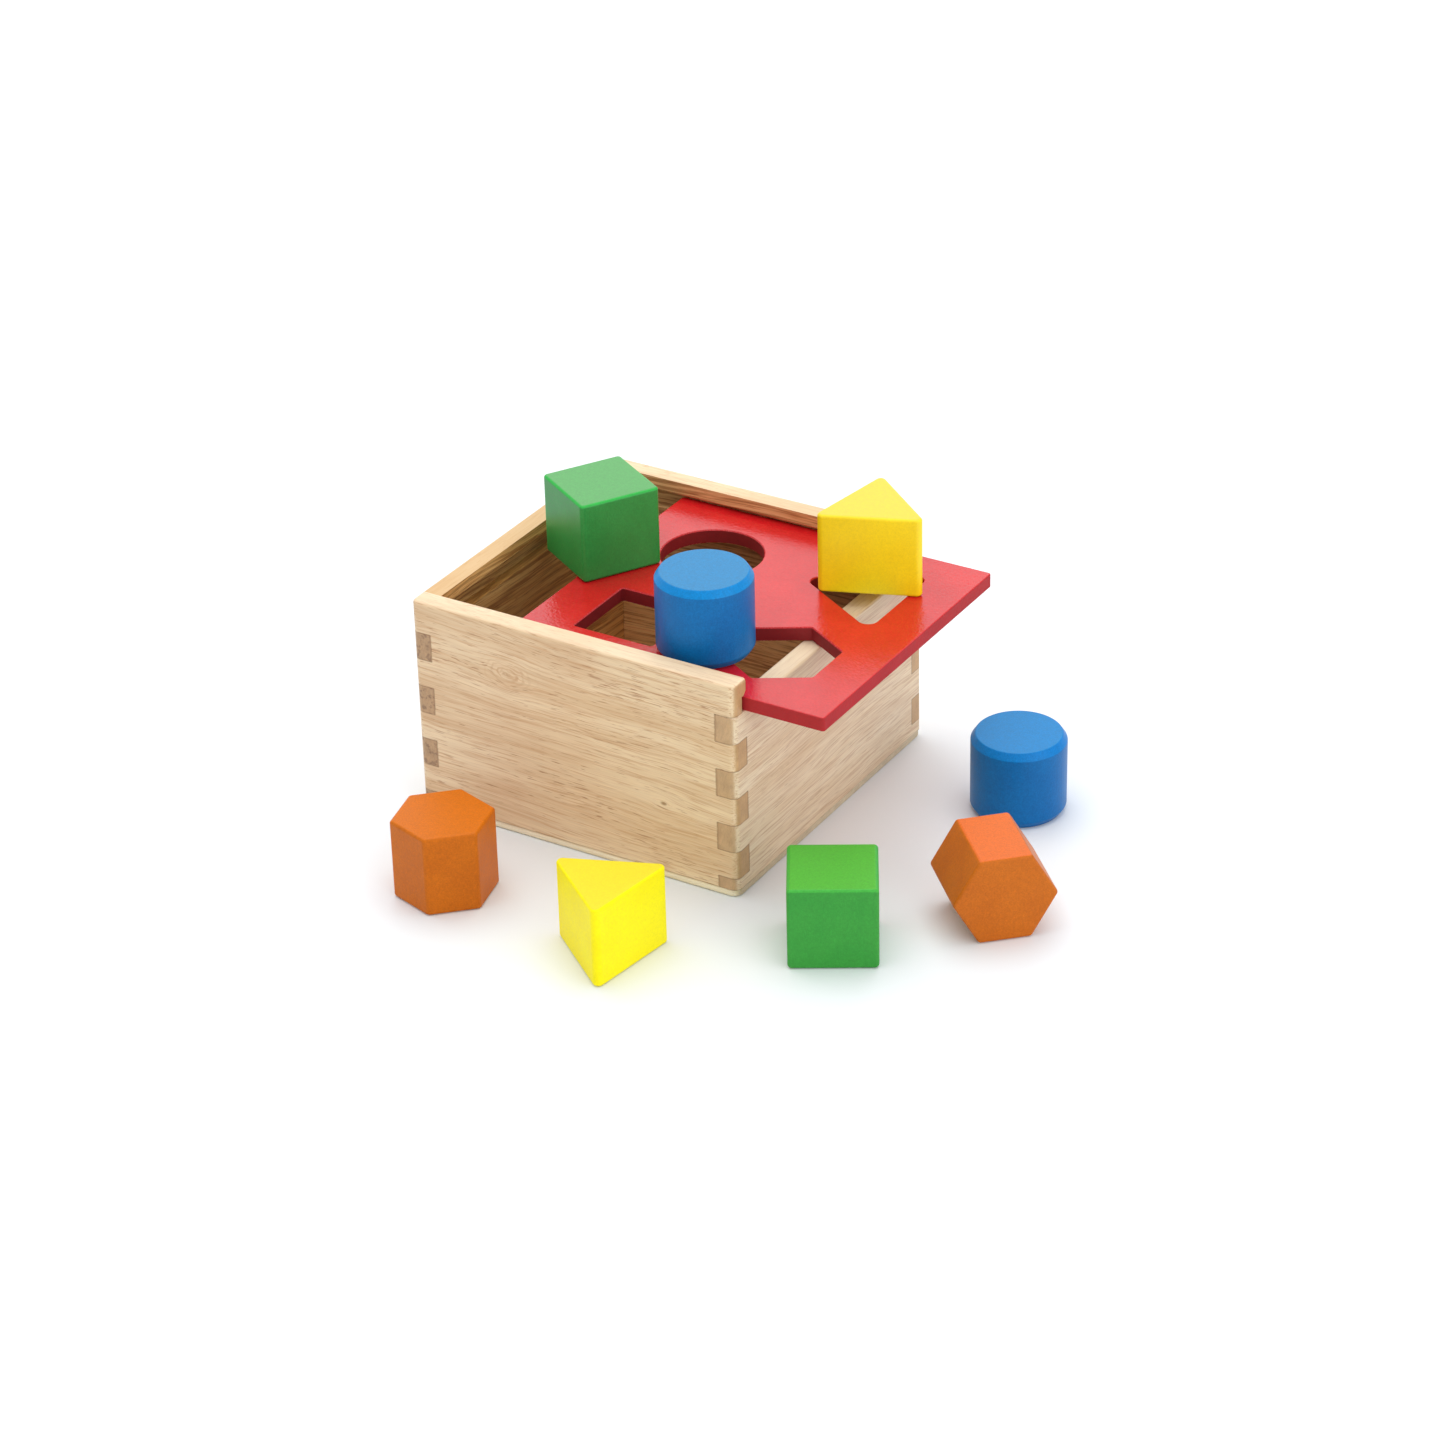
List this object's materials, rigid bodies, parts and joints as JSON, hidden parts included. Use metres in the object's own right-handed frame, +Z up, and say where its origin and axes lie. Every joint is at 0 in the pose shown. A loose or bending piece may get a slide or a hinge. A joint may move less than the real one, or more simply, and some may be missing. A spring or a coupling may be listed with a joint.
{
  "type": "shape sorter",
  "caption": "Finger-jointed wooden box with a sliding lid pierced by shaped holes, and matching painted blocks to post through them.",
  "frame": {"origin": "centre of the underside of the box, on the surface it stands on", "axes": "+X the way the lid slides out over the low end wall, +Y towards the back side wall, +Z up"},
  "size_m": [0.252, 0.2152, 0.1138],
  "materials": {
    "natural_wood": "fine sanded, clear oil",
    "panel_wood": "fine sanded",
    "red_paint": "satin paint",
    "green_paint": "satin paint",
    "blue_paint": "satin paint",
    "yellow_paint": "satin paint",
    "orange_paint": "satin paint"
  },
  "bodies": {
    "box": {"front_side_wall": "natural_wood", "back_side_wall": "natural_wood", "closed_end_wall": "natural_wood", "low_end_wall": "natural_wood", "bottom_panel": "panel_wood"},
    "lid": {"sliding_lid": "red_paint"},
    "green_cube_1": {"green_cube_1": "green_paint"},
    "green_cube_2": {"green_cube_2": "green_paint"},
    "blue_cylinder_2": {"blue_cylinder_2": "blue_paint"},
    "yellow_triangle_2": {"yellow_triangle_2": "yellow_paint"},
    "orange_hexagon_1": {"orange_hexagon_1": "orange_paint"},
    "orange_hexagon_2": {"orange_hexagon_2": "orange_paint"},
    "blue_cylinder_1": {"blue_cylinder_1": "blue_paint"},
    "yellow_triangle_1": {"yellow_triangle_1": "yellow_paint"}
  },
  "joints": [
    {"name": "lid_slide", "type": "slide", "parent": "box", "child": "lid", "axis": [1, 0, 0], "range_m": [-0.0323, 0.108]},
    {"name": "blue_cylinder_1_lift", "type": "slide", "parent": "lid", "child": "blue_cylinder_1", "axis": [0, 0, 1], "range_m": [0, 0.04]},
    {"name": "yellow_triangle_1_lift", "type": "slide", "parent": "lid", "child": "yellow_triangle_1", "axis": [0, 0, 1], "range_m": [0, 0.04]},
    {"name": "green_cube_1_lift", "type": "slide", "parent": "box", "child": "green_cube_1", "axis": [0, 0, 1], "range_m": [0, 0.04]},
    {"name": "green_cube_2_lift", "type": "slide", "parent": "box", "child": "green_cube_2", "axis": [0, 0, 1], "range_m": [0, 0.04]},
    {"name": "blue_cylinder_2_lift", "type": "slide", "parent": "box", "child": "blue_cylinder_2", "axis": [0, 0, 1], "range_m": [0, 0.04]},
    {"name": "yellow_triangle_2_lift", "type": "slide", "parent": "box", "child": "yellow_triangle_2", "axis": [0, 0, 1], "range_m": [0, 0.04]},
    {"name": "orange_hexagon_1_lift", "type": "slide", "parent": "box", "child": "orange_hexagon_1", "axis": [0, 0, 1], "range_m": [0, 0.04]},
    {"name": "orange_hexagon_2_lift", "type": "slide", "parent": "box", "child": "orange_hexagon_2", "axis": [0, 0, 1], "range_m": [0, 0.04]}
  ]
}
